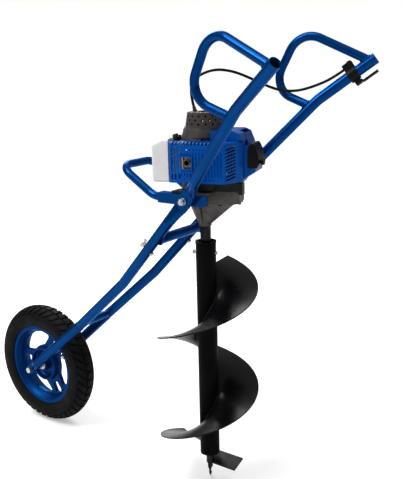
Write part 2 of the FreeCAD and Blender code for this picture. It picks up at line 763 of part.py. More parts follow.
def cylinder_block():
    """Air-cooled cylinder lying towards the right, with square fins."""
    core = cylinder(26, Vector(50, 0, 1015), Vector(112, 0, 1015))
    for number in range(7):
        x = 56 + number * 8
        core = core.fuse(block(Vector(x, -33, 982), Vector(x + 3, 33, 1048)))
    core = core.cut(cylinder(20, Vector(50, 0, 1015), Vector(105, 0, 1015)))
    return core.cut(cylinder(4, Vector(104, 0, 1015), Vector(113, 0, 1015)))


feature("engine_cylinder", cylinder_block(), head)
feature("piston", cylinder(20 - GAP, Vector(56, 0, 1015), Vector(82, 0, 1015)), head)
plug = cylinder(4, Vector(104, 0, 1015), Vector(112, 0, 1015))
feature("spark_plug", plug.fuse(cylinder(6, Vector(112, 0, 1015), Vector(119, 0, 1015))), head)


def muffler():
    """Pressed box in front of the cylinder, with its outlet stub."""
    shell = block(Vector(-34, -86, 985), Vector(60, -50, 1045))
    shell = shell.makeFillet(6, shell.Edges).cut(block(Vector(-32, -84, 987), Vector(58, -52, 1043)))
    port = cylinder(9, Vector(-20, -93, 1014.5), Vector(-20, -84, 1014.5))
    neck_pipe = block(Vector(62 - 10, -52, 1005), Vector(62 - 2, -33.2, 1025))
    body = shell.fuse(port).fuse(neck_pipe)
    return body.cut(cylinder(7.5, Vector(-20, -94, 1014.5), Vector(-20, -80, 1014.5)))


feature("muffler", muffler(), head)

GROOVE_FACE = -92.8
cover_plan = [(-73, -95), (93, -95), (128, -35), (128, 0), (-73, 0)]


def cover_blank():
    """Box open at the back and below, its upright and top edges rounded."""
    blank = prism(cover_plan, COVER_LOW, COVER_HIGH)
    edges = []
    for edge in blank.Edges:
        ends = [v.Point for v in edge.Vertexes]
        front = all(p.y < -20 for p in ends)
        top = all(abs(p.z - COVER_HIGH) < 0.1 for p in ends)
        standing = abs(ends[0].z - ends[1].z) > 50
        if front and (top or standing):
            edges.append(edge)
    blank = blank.makeFillet(8, edges)
    inner = [(-70, -92), (91.3, -92), (125, -34.2), (125, 5), (-70, 5)]
    blank = blank.cut(prism(inner, COVER_LOW - 5, COVER_HIGH - 3))
    return blank.cut(block(Vector(-80, -55, COVER_HIGH - 16), Vector(9.5, 5, COVER_HIGH + 5)))


def louvre(level):
    """Slanted cooling slot in the angled right face."""
    middle = Vector(104.2, -75.8, level)
    slot = block(Vector(-18, -6, -2.4), Vector(18, 6, 2.4))
    slot.rotate(Vector(0, 0, 0), Y, -13)
    slot.rotate(Vector(0, 0, 0), Z, math.degrees(math.atan2(60, 35)))
    slot.translate(middle)
    return slot


def cylinder_cover():
    """Slotted engine cover: upright slots left, recessed outlet, louvres right, top slots."""
    cover = cover_blank()
    tools = [louvre(COVER_LOW + 14 + number * 9.3) for number in range(10)]
    for x in (-65, -55, -43):
        for low, high in ((10, 26), (30, 73), (77, 100)):
            tools.append(block(Vector(x, -100, COVER_LOW + low), Vector(x + 4.5, -90, COVER_LOW + high)))
    for number in range(13):
        x = -62 + number * 11
        tools.append(block(Vector(x, -100, COVER_HIGH - 9), Vector(x + 5, -60, COVER_HIGH + 2)))
    for number in range(7):
        x = -21 + number * 10
        tools.append(block(Vector(x, -100, COVER_HIGH - 23), Vector(x + 4, -90, COVER_HIGH - 20)))
    for number in range(9):
        x = -28 + number * 12
        tools.append(block(Vector(x, -100, COVER_LOW + 9), Vector(x + 8, -90, COVER_LOW + 12)))
    # shallow flutes down the front, clear of the outlet's recess
    for number in range(10):
        x = -1 + number * 9
        tools.append(block(Vector(x, -100, COVER_LOW + 18), Vector(x + 4, GROOVE_FACE, COVER_HIGH - 28)))
    for number in range(4):
        x = -36 + number * 9
        for low, high in ((18, 28), (76, 84)):
            flute = block(Vector(x, -100, COVER_LOW + low), Vector(x + 4, GROOVE_FACE, COVER_LOW + high))
            tools.append(flute)
    tools.append(block(Vector(-35, -100, 998), Vector(-5, -88, 1031)))
    tools.append(upright(48, COVER_LOW, COVER_HIGH + 5))
    cover = cover.cut(Part.makeCompound(tools))
    frame = block(Vector(-38, -97.5, 995), Vector(-2, -94.9, 1034))
    frame = frame.cut(block(Vector(-35, -98, 998), Vector(-5, -94, 1031)))
    cover = cover.fuse(frame)
    return max(cover.Solids, key=lambda solid: solid.Volume)


feature("cylinder_cover", cylinder_cover(), head)


HOOD, FILTER = 1100, 141


def fan_shroud():
    """Moulded shroud behind and above the cover, stepping down to the right."""
    base, ledge = COVER_LOW + 4, COVER_LOW + 37
    lower = prism([(48, 1), (128.5, 1), (128.5, -30), (146, -30), (158, -14), (158, 60), (140, 72), (48, 72)],
                  base, ledge)
    under = [Vector(126, -60, base), Vector(170, -60, base), Vector(170, -60, base + 30)]
    lower = lower.cut(Part.Face(Part.makePolygon(under + under[:1])).extrude(Y * 160))
    upper_side = [(10, ledge), (132, ledge), (134, 1062), (122, 1092), (104, HOOD), (10, HOOD)]
    face = [Vector(x, 1, z) for x, z in upper_side]
    tall = Part.Face(Part.makePolygon(face + face[:1])).extrude(Y * 71)
    hood_side = [(10, COVER_HIGH + 1), (129, COVER_HIGH + 1), (121, 1092), (103, HOOD), (10, HOOD)]
    face = [Vector(x, -46, z) for x, z in hood_side]
    hood = Part.Face(Part.makePolygon(face + face[:1])).extrude(Y * 60)
    neck_box = block(Vector(128.5, -30, ledge - 1), Vector(FILTER, 60, 1058))
    body = lower.fuse(tall).fuse(hood).fuse(neck_box).removeSplitter()
    hollow = block(Vector(0, 4, base + 3), Vector(122, 69, COVER_HIGH + 25))
    hollow = hollow.fuse(block(Vector(0, 0, base + 8), Vector(122, 10, COVER_HIGH)))
    hollow = hollow.fuse(block(Vector(0, -43, COVER_HIGH), Vector(101, 66, HOOD - 3)))
    hollow = hollow.fuse(block(Vector(98, -43, COVER_HIGH), Vector(115, 66, 1088)))
    hollow = hollow.fuse(prism([(119, 5), (134, 5), (134, 58), (119, 58)], base + 8, base + 25))
    hollow = hollow.fuse(block(Vector(118, -27, ledge + 5), Vector(FILTER - 3, 57, 1052)))
    hollow = hollow.fuse(block(Vector(FILTER - 4, -27, ledge + 8), Vector(FILTER + 1, 33, 1043)))
    for number in range(7):
        x = 52 + number * 9
        hollow = hollow.fuse(block(Vector(x, 60, ledge + 14), Vector(x + 4, 80, 1070)))
    body = body.cut(hollow).cut(upright(58, base - 5, 1120))
    return max(body.Solids, key=lambda solid: solid.Volume)


feature("fan_shroud", fan_shroud(), head)


def air_filter():
    """Black filter case clipped to the shroud's right end, with a cap above."""
    profile = [(FILTER, 996), (168, 996), (175, 1010), (168, 1042), (158, 1064), (150, 1066), (FILTER, 1050)]
    face = [Vector(x, -38, z) for x, z in profile]
    body = Part.Face(Part.makePolygon(face + face[:1])).extrude(Y * 76)
    rounded = body.makeFillet(4, [e for e in body.Edges if abs(e.Vertexes[0].X - e.Vertexes[1].X) > 1
                                  or abs(e.Vertexes[0].Z - e.Vertexes[1].Z) > 1
                                  if min(v.X for v in e.Vertexes) > FILTER + 1])
    return rounded.cut(block(Vector(FILTER, -34, 1000), Vector(FILTER + 14, 34, 1044)))


feature("air_filter_case", air_filter(), head)
knob = cylinder(8, Vector(175.3, -14, 1012), Vector(184, -14, 1012))
knob = knob.cut(block(Vector(181, -16, 1000), Vector(185, -12, 1040)))
feature("filter_knob", knob, head)


def carburettor():
    """Carburettor between the intake and the filter case, inside the shroud's end."""
    case = block(Vector(94, 38, 998), Vector(120, 64, 1030))
    case = case.fuse(cylinder(11, Vector(107, 51, 994), Vector(107, 51, 998)))
    case = case.fuse(cylinder(9, Vector(107, 51, 1030), Vector(107, 51, 1040)))
    return case.cut(cylinder(7, Vector(92, 51, 1014), Vector(122, 51, 1014)))


feature("carburettor", carburettor(), head)


def recoil_housing():
    """Tapered starter housing with two rows of cooling holes and a cable gland."""
    middle = Vector(4, 0, 0)
    cone = Part.makeCone(56, 49, RECOIL - CRANKCASE, middle + Z * CRANKCASE, Z)
    cone = cone.cut(Part.makeCone(52.5, 45.5, RECOIL - CRANKCASE - 4, middle + Z * CRANKCASE, Z))
    for row, level in enumerate((CRANKCASE + 10, CRANKCASE + 21, CRANKCASE + 32)):
        for number in range(16):
            angle = math.radians(22.5 * number + 11.25 * row)
            out = Vector(math.cos(angle), math.sin(angle), 0)
            start = middle + out * 38 + Z * level
            cone = cone.cut(cylinder(3.2, start, start + out * 24))
    crown = upright(17, RECOIL, RECOIL + 2.5, middle.x).cut(upright(12, RECOIL + 1, RECOIL + 3, middle.x))
    cone = cone.fuse(crown)
    for number in range(12):
        vent = block(Vector(22, -1.6, RECOIL - 8), Vector(39, 1.6, RECOIL + 4))
        vent.rotate(Vector(0, 0, 0), Z, 15 + 30 * number)
        vent.translate(middle)
        near_gland = abs(15 + 30 * number - 152) < 20
        if not near_gland:
            cone = cone.cut(vent)
    gland = upright(7, RECOIL - 3, RECOIL + 3, gland_foot.x, gland_foot.y)
    gland = gland.fuse(cylinder(5.5, gland_foot - gland_run * 3, gland_foot + gland_run * 12))
    spout = cylinder(8, Vector(-10, 30, RECOIL - 16), Vector(-10, 60, RECOIL - 16))
    body = cone.fuse(gland).fuse(spout)
    body = body.cut(upright(44, CRANKCASE, RECOIL - 6))
    return body.cut(cylinder(3, Vector(-10, 20, RECOIL - 16), Vector(-10, 62, RECOIL - 16)))


gland_foot = Vector(-30, 16, RECOIL)
gland_run = Vector(-0.3, 0.13, 0.94).normalize()
feature("recoil_housing", recoil_housing(), head)


def starter_grip():
    """T-shaped pull grip parked against the starter's rope spout."""
    bar = cylinder(8, Vector(-42, 72, RECOIL - 16), Vector(22, 72, RECOIL - 16))
    for end in (-42, 14):
        bar = bar.fuse(cylinder(9.6, Vector(end, 72, RECOIL - 16), Vector(end + 8, 72, RECOIL - 16)))
    neck_piece = cylinder(6, Vector(-10, 60.4, RECOIL - 16), Vector(-10, 70, RECOIL - 16))
    return bar.fuse(neck_piece)


feature("starter_grip", starter_grip(), head)


def fuel_tank():
    """Blow-moulded tank left of the cover, top falling to the left, with a leaning neck."""
    profile = [(-128, 957), (-76, 957), (-76, 1081), (-94, 1081), (-128, 1064)]
    face = [Vector(x, -90, z) for x, z in profile]
    body = Part.Face(Part.makePolygon(face + face[:1])).extrude(Y * 148)
    body = body.makeFillet(9, [e for e in body.Edges if e.Vertexes[0].X < -80 or e.Vertexes[1].X < -80])
    neck_pipe = cylinder(14, tank_neck - tank_lean * 20, tank_neck)
    hollow = block(Vector(-124, -86, 961), Vector(-80, 54, 1056))
    bore = cylinder(10, tank_neck - tank_lean * 12, tank_neck)
    bore = bore.fuse(cylinder(6, tank_neck - tank_lean * 12, Vector(-95, tank_neck.y, 1050)))
    elbow_boss = Part.makeSphere(15, Vector(-88, tank_neck.y, 1075))
    return body.fuse(elbow_boss).fuse(neck_pipe).cut(hollow).cut(bore)


tank_lean = Vector(0.97, 0, 0.24).normalize()
tank_neck = Vector(-72.5, -42, 1077)
feature("fuel_tank", fuel_tank(), head)
cap_seat = tank_neck + tank_lean * 0.4
CAP = 13
fuel_cap = cylinder(CAP, cap_seat, cap_seat + tank_lean * 10)
fuel_cap = fuel_cap.fuse(cylinder(7.5, cap_seat + tank_lean * 10, cap_seat + tank_lean * 18))
fuel_cap = fuel_cap.fuse(cylinder(9, cap_seat - tank_lean * 8, cap_seat))
for flute in range(12):
    turned = Rotation(tank_lean, 30 * flute)
    rim_spot = cap_seat + turned.multVec(Y * (CAP + 0.6))
    fuel_cap = fuel_cap.cut(cylinder(1.6, rim_spot, rim_spot + tank_lean * 14))
feature("fuel_cap", fuel_cap, head)
feature("gearbox_bolts", gearbox_bolts(), head)

# ---------------------------------------------------------------- rotating parts inside


def gear(teeth, low, high, phase):
    """Straight-sided spur teeth with backlash, one tooth centred on the phase angle."""
    module = size("gear_module")
    pitch = module * teeth / 2
    step = 360 / teeth
    outline = []
    for number in range(int(teeth)):
        for radius, share in ((pitch - 1.3 * module, -0.32), (pitch + 0.85 * module, -0.12),
                              (pitch + 0.85 * module, 0.12), (pitch - 1.3 * module, 0.32)):
            angle = math.radians(phase + step * (number + share))
            outline.append((radius * math.cos(angle), radius * math.sin(angle)))
    return prism(outline, low, high)


WHEEL_TEETH, PINION_TEETH = size("wheel_teeth"), size("pinion_teeth")


def output_shaft():
    """Output gear and shaft in one piece, drilled for the auger's drive pin."""
    shaft = upright(SHAFT, 700, 899).fuse(upright(12, 899, 902.5))
    return shaft.fuse(gear(WHEEL_TEETH, 902.5, 908.5, 0)).cut(pin_bore(5))


def pin_bore(radius):
    return cylinder(radius, Vector(-60, 0, 735), Vector(60, 0, 735))


def lay_gear():
    """Lay shaft: large gear above, small gear below, journals at both ends."""
    shaft = upright(lay_radius, 896.5, 927.5)
    wheel = gear(WHEEL_TEETH, 912, 919, 180)
    small = gear(PINION_TEETH, 901.5, 910, 195)
    body = shaft.fuse(wheel).fuse(small)
    body.translate(Vector(LAY, 0, 0))
    return body


def clutch_drum():
    """Clutch bell with its pinion shaft running down into the gearbox."""
    cup = upright(42, PLATE + 3, PLATE + 21).cut(upright(38.5, PLATE + 6, PLATE + 21))
    stub = upright(stub_radius, 921, PLATE + 3)
    return cup.fuse(stub).fuse(gear(PINION_TEETH, 910.5, 921, 15))


feature("output_shaft", output_shaft(), head)
feature("lay_gear", lay_gear(), head)
feature("clutch_drum", clutch_drum(), head)


def crankshaft():
    """Upright crankshaft with its counterweighted web."""
    shaft = upright(10, PLATE + 8, CRANKCASE + 12)
    web = upright(28, 1003, 1027)
    return shaft.fuse(web)


def clutch_shoes():
    ring = upright(36.5, PLATE + 8, PLATE + 19).cut(upright(10, PLATE, CLUTCH))
    gap = block(Vector(-50, -4, PLATE), Vector(50, 4, CLUTCH))
    return Part.makeCompound(ring.cut(gap).Solids)


def flywheel():
    """Fan wheel: disc with raised blades round its edge."""
    disc = upright(48, 1088, 1093)
    for number in range(14):
        vane = block(Vector(30, -1, 1093), Vector(47, 1, 1104))
        vane.rotate(Vector(0, 0, 0), Z, 360 / 14 * number)
        disc = disc.fuse(vane)
    return disc.cut(upright(10, 1080, 1110))


feature("crankshaft", crankshaft(), head)
feature("clutch_shoes", clutch_shoes(), head)
feature("flywheel", flywheel(), head)

# ---------------------------------------------------------------- auger

STEM = size("stem_radius")
stem_low, stem_high = size("stem_bottom"), size("stem_top")


def build_stem():
    """Thick tube with a bored socket for the output shaft and a rolled top rim."""
    outer = bound("Part::Cylinder", "stem_outer", Placement(Vector(0, 0, stem_low), Rotation()),
                  Radius="sizes.stem_radius", Height="sizes.stem_top - sizes.stem_bottom")
    rim = bound("Part::Cylinder", "stem_rim", Placement(Vector(0, 0, stem_high - 6), Rotation()),
                Radius="sizes.stem_radius + 1.2", Height="6")
    hollow = bound("Part::Cylinder", "stem_hollow", Placement(Vector(0, 0, stem_low + 6), Rotation()),
                   Radius="sizes.stem_radius - sizes.stem_wall", Height="690 - sizes.stem_bottom - 6")
    socket = bound("Part::Cylinder", "stem_socket", Placement(Vector(0, 0, 690), Rotation()),
                   Radius="sizes.shaft_radius", Height="sizes.stem_top - 680")
    mouth = bound("Part::Cylinder", "stem_mouth", Placement(Vector(0, 0, stem_high - 8), Rotation()),
                  Radius="sizes.stem_radius - sizes.stem_wall", Height="10")
    pin = bound("Part::Cylinder", "stem_pin_hole", head * along(X, Vector(-60, 0, 735)),
                Radius="5", Height="120")
    tools = fuse("stem_tools", [hollow, socket, mouth, pin])
    return keep("auger_stem", cut("stem_tube", fuse("stem_blank", [outer, rim]), tools))


build_stem()


def auger_flight():
    """Single right-hand flight, a flat strip swept round the stem."""
    pitch, thick = size("flight_pitch"), size("flight_thick")
    start, end = size("flight_end"), size("flight_start")
    turns = (end - start) / 360
    low = size("flight_level") + start / 360 * pitch
    helix = Part.makeHelix(pitch, pitch * turns, STEM)
    inner, outer = STEM - 0.2, size("flight_radius")
    strip = Part.makePolygon([Vector(inner, 0, 0), Vector(outer, 0, 0), Vector(outer, 0, thick),
                              Vector(inner, 0, thick), Vector(inner, 0, 0)])
    sweep = Part.BRepOffsetAPI.MakePipeShell(Part.Wire(helix))
    sweep.setFrenetMode(True)
    sweep.add(strip)
    sweep.build()
    sweep.makeSolid()
    flight = sweep.shape()
    flight.rotate(Vector(0, 0, 0), Z, start)
    flight.translate(Vector(0, 0, low))
    return flight.cut(upright(STEM, 0, 900))


feature("auger_flight", auger_flight())


def auger_blade():
    """Flat cutting blade under the stem, its leading edge down."""
    blade = block(Vector(-6, -26, -3), Vector(97, 26, 3))
    blade.rotate(Vector(0, 0, 0), X, 20)
    blade.translate(Vector(0, 17, 58))
    return blade.cut(upright(12, 0, stem_low)).cut(upright(STEM + 5, stem_low, 200))


def pilot_tip():
    """Twisted pilot: a round shank under the stem, then a flat bar twisted to a point."""
    shank = upright(12, 46, stem_low)
    sections = []
    for number in range(9):
        share = number / 8
        level = 46 * (1 - share)
        half = 8 - 6.5 * share ** 3
        ring = [Vector(-half, -2.6, level), Vector(half, -2.6, level),
                Vector(half, 2.6, level), Vector(-half, 2.6, level)]
        wire = Part.makePolygon(ring + ring[:1])
        wire.rotate(Vector(0, 0, level), Z, 200 * share)
        sections.append(wire)
    return shank.fuse(Part.makeLoft(sections, True, True))


feature("auger_blade", auger_blade())
feature("pilot_tip", pilot_tip())
drive_pin = cylinder(5, Vector(-36, 0, 735), Vector(36, 0, 735))
feature("drive_pin", drive_pin.fuse(cylinder(7, Vector(-41, 0, 735), Vector(-36, 0, 735))), head)

# ---------------------------------------------------------------- throttle cable

cable_start = head.multVec(gland_foot + gland_run * 12.3)
cable_leaves = head.Rotation.multVec(gland_run)
cable_end = clamp_at + arm_up * (ARM + 10) - arm_run * 14
CABLE_ROUTE = [
    cable_start, cable_start + cable_leaves * 34, Vector(-55, 22, 1230), Vector(-40, 44, 1252),
    Vector(-6, 70, 1266), Vector(34, 100, 1260), Vector(72, 132, 1240), Vector(108, 158, 1218),
    Vector(146, 181, 1201), Vector(192, 196, 1199), Vector(238, 209, 1211),
    cable_end - arm_run * 42, cable_end]


def cable_radii(points):
    radii = []
    for before, corner, after in zip(points, points[1:], points[2:]):
        back, ahead = before - corner, after - corner
        half_turn = (math.pi - back.getAngle(ahead)) / 2
        radii.append(0.45 * min(back.Length, ahead.Length) / math.tan(half_turn))
    return radii


cable_bends = cable_radii(CABLE_ROUTE)
cable_radius = size("cable_diameter") / 2
cable = rod(CABLE_ROUTE, cable_bends, cable_radius)
cable_length = bend_path(CABLE_ROUTE, cable_bends).Length
feature("throttle_cable", cable)
print("cable bend radii", [round(r) for r in cable_bends], "length", round(cable_length))
cable_section = math.pi * cable_radius ** 2
print("cable volume over section times length", round(cable.Volume / (cable_section * cable_length), 4))

# ---------------------------------------------------------------- check and export

doc.recompute()
for obj in doc.Objects:
    if "Invalid" in obj.State or "Error" in obj.State:
        raise SystemExit(f"{obj.Label} failed: {obj.State}")
for obj in parts:
    if obj.Shape.isNull() or not obj.Shape.isValid():
        raise SystemExit(f"{obj.Label} has no valid shape")
os.makedirs("parts", exist_ok=True)
for obj in parts:
    obj.Shape.exportStep(f"parts/{obj.Label}.step")
print(len(parts), "sub-parts")
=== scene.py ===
import json
import math

import bmesh
import bpy
from mathutils import Matrix, Vector


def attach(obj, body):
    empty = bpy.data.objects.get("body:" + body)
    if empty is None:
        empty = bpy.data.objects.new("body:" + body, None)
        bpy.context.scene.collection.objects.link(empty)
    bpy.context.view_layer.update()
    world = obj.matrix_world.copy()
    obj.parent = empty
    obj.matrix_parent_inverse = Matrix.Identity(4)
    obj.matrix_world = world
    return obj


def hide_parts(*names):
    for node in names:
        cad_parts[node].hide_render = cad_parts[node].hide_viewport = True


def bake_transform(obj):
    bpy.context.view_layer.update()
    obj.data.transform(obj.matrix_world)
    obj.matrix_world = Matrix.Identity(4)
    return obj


# Petrol earth auger on a single-wheel push frame. Metres, in the CAD's frame:
# +X towards the operator, +Y to the throttle side, +Z up, origin at the pilot's point.

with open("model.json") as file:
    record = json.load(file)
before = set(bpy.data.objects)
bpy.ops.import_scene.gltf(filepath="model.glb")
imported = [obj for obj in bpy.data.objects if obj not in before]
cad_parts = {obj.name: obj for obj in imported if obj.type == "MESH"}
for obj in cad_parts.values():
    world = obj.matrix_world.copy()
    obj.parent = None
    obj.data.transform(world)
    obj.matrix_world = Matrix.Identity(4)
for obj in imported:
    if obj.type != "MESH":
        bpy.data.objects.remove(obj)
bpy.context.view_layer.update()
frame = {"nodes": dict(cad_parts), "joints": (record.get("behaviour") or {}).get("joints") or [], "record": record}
nodes = frame["nodes"]

X, Y = Vector((1, 0, 0)), Vector((0, 1, 0))
NEAR, FAR = -1, 1
AXLE = next(Vector(j["pos_m"]) for j in frame["joints"] if j["name"] == "wheel_spin")

# the frame tubes' corners, as in the CAD, on the far side
NECK, KNEE = Vector((-0.486, 0.066, 0.426)), Vector((-0.268, 0.078, 0.614))
PIVOT, ELBOW = Vector((0.008, 0.111, 0.908)), Vector((0.252, 0.211, 1.173))
GRIP = Vector((0.402, 0.271, 1.289))
ARM_RADIUS = 0.016


# ---------------------------------------------------------------- camera

# fitted to the photograph
CAMERA_PLACE = (1.3200, -1.7997, 1.3191)
CAMERA_LOOK = Vector((-0.5779, 0.7809, -0.2371))
CAMERA_ABOVE = Vector((-0.1233, 0.2036, 0.9713))
CAMERA_LENS = 58.2
CAMERA_REACH = 200


def photo_camera():
    data = bpy.data.cameras.new("camera")
    data.lens = CAMERA_LENS
    data.clip_end = CAMERA_REACH
    camera = link("camera", data)
    bpy.context.scene.camera = camera
    side = CAMERA_LOOK.cross(CAMERA_ABOVE).normalized()
    above = side.cross(CAMERA_LOOK).normalized()
    turn = Matrix((side, above, -CAMERA_LOOK.normalized())).transposed()
    camera.matrix_world = Matrix.Translation(CAMERA_PLACE) @ turn.to_4x4()


# ---------------------------------------------------------------- helpers

SHARP_EDGE = 32  # degrees between faces from which an edge is rounded
SAME_FACE = 0.6  # degrees between triangles up to which they are one face
SAME_PLACE = 2e-6


def mirrored(point, which):
    return point if which == FAR else Vector((point.x, -point.y, point.z))


def link(name, data):
    obj = bpy.data.objects.new(name, data)
    bpy.context.scene.collection.objects.link(obj)
    return obj


def mesh_piece(name, verts, faces, body, slot):
    """A smooth mesh on a body, in its slot's material."""
    mesh = bpy.data.meshes.new(name)
    mesh.from_pydata([tuple(v) for v in verts], [], faces)
    mesh.update()
    bm = bmesh.new()
    bm.from_mesh(mesh)
    bmesh.ops.recalc_face_normals(bm, faces=bm.faces)
    bm.to_mesh(mesh)
    bm.free()
    mesh.shade_smooth()
    mesh.materials.append(MATERIALS[slot])
    obj = link(name, mesh)
    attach(obj, body)
    return obj


def rounded(obj, width, segments=2):
    """Rounds an object's sharp edges; weighted normals keep its flat faces flat."""
    bevel = obj.modifiers.new("rounding", "BEVEL")
    bevel.width = width
    bevel.segments = segments
    bevel.limit_method = "ANGLE"
    bevel.angle_limit = math.radians(SHARP_EDGE)
    bevel.miter_outer = "MITER_ARC"
    bevel.use_clamp_overlap = True
    weighted = obj.modifiers.new("even_shading", "WEIGHTED_NORMAL")
    weighted.keep_sharp = True


def soften(node, width, whole_faces=True):
    """The same for a CAD node, whose triangles are first joined into whole faces if asked."""
    obj = nodes[node]
    mesh = obj.data
    if "custom_normal" in mesh.attributes:
        mesh.attributes.remove(mesh.attributes["custom_normal"])
    mesh.shade_smooth()
    weld = obj.modifiers.new("weld", "WELD")
    weld.merge_threshold = SAME_PLACE
    if whole_faces:
        flat = obj.modifiers.new("flat_faces", "DECIMATE")
        flat.decimate_type = "DISSOLVE"
        flat.angle_limit = math.radians(SAME_FACE)
    rounded(obj, width)


def lathe(profile, centre, axis, start, steps):
    """Vertices and faces of a closed profile of (radius, along) points turned about an axis."""
    across = axis.cross(start)
    verts, faces = [], []
    count = len(profile)
    for step in range(steps):
        angle = math.tau * step / steps
        out = start * math.cos(angle) + across * math.sin(angle)
        verts += [centre + out * radius + axis * along for radius, along in profile]
    for step in range(steps):
        here, after = step * count, (step + 1) % steps * count
        for spot in range(count):
            following = (spot + 1) % count
            faces.append((here + spot, here + following, after + following, after + spot))
    return verts, faces


# ---------------------------------------------------------------- materials

WHITE = (1, 1, 1, 1)
NOISE_ROUGHNESS = 0.55


class Surface:
    """A Principled material built up from object-space noise."""

    def __init__(self, name, rough, metallic=0.0, **sockets):
        self.mat = bpy.data.materials.new(name)
        self.mat.use_nodes = True
        self.tree = self.mat.node_tree
        self.shader = self.tree.nodes["Principled BSDF"]
        self.shader.inputs["Metallic"].default_value = metallic
        self.shader.inputs["Roughness"].default_value = rough
        for socket, value in sockets.items():
            self.shader.inputs[socket.replace("_", " ")].default_value = value
        self.place = self.add("ShaderNodeTexCoord").outputs["Object"]
        self.base = None
        self.bump = None

    def add(self, kind, **settings):
        node = self.tree.nodes.new(kind)
        for key, value in settings.items():
            setattr(node, key, value)
        return node

    def join(self, output, socket):
        self.tree.links.new(output, socket)

    def noise(self, scale, detail=3.0):
        node = self.add("ShaderNodeTexNoise")
        node.inputs["Scale"].default_value = scale
        node.inputs["Detail"].default_value = detail
        node.inputs["Roughness"].default_value = NOISE_ROUGHNESS
        self.join(self.place, node.inputs["Vector"])
        return node.outputs["Fac"]

    def spread(self, value, low, high, to_low=0.0, to_high=1.0):
        """The part of a value between low and high, spread over a new range."""
        node = self.add("ShaderNodeMapRange")
        node.inputs["From Min"].default_value = low
        node.inputs["From Max"].default_value = high
        node.inputs["To Min"].default_value = to_low
        node.inputs["To Max"].default_value = to_high
        self.join(value, node.inputs["Value"])
        return node.outputs["Result"]

    def lay(self, tone, factor, under=None):
        """Lays a tone by a factor over another tone, or over the base colour so far."""
        mix = self.add("ShaderNodeMix", data_type="RGBA")
        if under:
            mix.inputs["A"].default_value = (*under, 1)
        else:
            self.join(self.base, mix.inputs["A"])
        mix.inputs["B"].default_value = (*tone, 1)
        self.join(factor, mix.inputs["Factor"])
        self.join(mix.outputs["Result"], self.shader.inputs["Base Color"])
        self.base = mix.outputs["Result"]
        return self

    def colour(self, first, second, scale, **noise):
        """Base colour drifting between two tones."""
        return self.lay(second, self.spread(self.noise(scale, **noise), 0.35, 0.65), under=first)

    def spots(self, tone, scale, low, high, **noise):
        """A third tone over the base wherever a noise passes a threshold."""
        return self.lay(tone, self.spread(self.noise(scale, **noise), low, high))

    def gloss(self, low, high, scale):
        """Roughness drifting between two values."""
        drift = self.spread(self.noise(scale), 0.3, 0.7, low, high)
        self.join(drift, self.shader.inputs["Roughness"])
        return self

    def grain(self, scale, distance, strength=0.5, **noise):
        """Bump, stacked on any bump already there."""
        bump = self.add("ShaderNodeBump")
        bump.inputs["Strength"].default_value = strength
        bump.inputs["Distance"].default_value = distance
        self.join(self.noise(scale, **noise), bump.inputs["Height"])
        if self.bump is not None:
            self.join(self.bump, bump.inputs["Normal"])
        self.join(bump.outputs["Normal"], self.shader.inputs["Normal"])
        self.bump = bump.outputs["Normal"]
        return self

    def wear_and_edge_highlight(self, tone):
        """A lighter tone along sharp convex edges, broken up by noise: partly wear, partly a painted highlight
        where the edges catch the light.
        """
        point = self.add("ShaderNodeNewGeometry").outputs["Pointiness"]
        mask = self.add("ShaderNodeMath", operation="MULTIPLY")
        self.join(self.spread(point, 0.53, 0.60), mask.inputs[0])
        self.join(self.spread(self.noise(60, detail=5), 0.42, 0.62), mask.inputs[1])
        return self.lay(tone, mask.outputs["Value"])


BLUE_SHEEN = (0.12, 0.55, 1, 1)


def blue_enamel(name, deep, bright, rough):
    surface = Surface(name, rough, 0.65, Specular_IOR_Level=0.18, Specular_Tint=BLUE_SHEEN)
    surface.colour(deep, bright, scale=5, detail=4)
    surface.gloss(rough - 0.05, rough + 0.05, scale=26)
    surface.grain(scale=420, distance=0.00008, strength=0.12)
    return surface.grain(scale=26, distance=0.0004, strength=0.10).mat


def moulded(name, deep, bright, rough, grain=0.00012, sheen=WHITE, shine=0.3):
    surface = Surface(name, rough, Specular_IOR_Level=shine, Specular_Tint=sheen)
    surface.colour(deep, bright, scale=9, detail=4)
    surface.gloss(rough - 0.07, rough + 0.08, scale=40)
    return surface.grain(scale=1500, distance=grain, strength=0.4).mat


def cast(name, deep, bright, metallic, rough):
    surface = Surface(name, rough, metallic, Specular_IOR_Level=0.3)
    surface.colour(deep, bright, scale=28, detail=6)
    surface.gloss(rough - 0.08, rough + 0.1, scale=60)
    surface.grain(scale=520, distance=0.0004, strength=0.55, detail=4)
    return surface.grain(scale=45, distance=0.0006, strength=0.25).mat


def metal(name, deep, bright, rough):
    surface = Surface(name, rough, 1.0)
    surface.colour(deep, bright, scale=90)
    surface.gloss(rough - 0.08, rough + 0.12, scale=160)
    return surface.grain(scale=1100, distance=0.00008, strength=0.3).mat


def rubber(name, deep, bright, dust):
    surface = Surface(name, 0.58, Specular_IOR_Level=0.1)
    surface.colour(deep, bright, scale=12, detail=5)
    surface.gloss(0.52, 0.72, scale=30)
    surface.spots(dust, scale=36, low=0.6, high=0.8, detail=6)
    surface.grain(scale=900, distance=0.0002, strength=0.4)
    return surface.grain(scale=80, distance=0.0004, strength=0.2).mat


def clear_plastic(name, deep, bright):
    surface = Surface(name, 0.36, Subsurface_Weight=0.35, Subsurface_Scale=0.012,
                      Subsurface_Radius=(1.0, 0.95, 0.9))
    surface.colour(deep, bright, scale=6, detail=4)
    surface.gloss(0.3, 0.44, scale=22)
    surface.grain(scale=600, distance=0.00015, strength=0.25)
    return surface.grain(scale=24, distance=0.0008, strength=0.15).mat


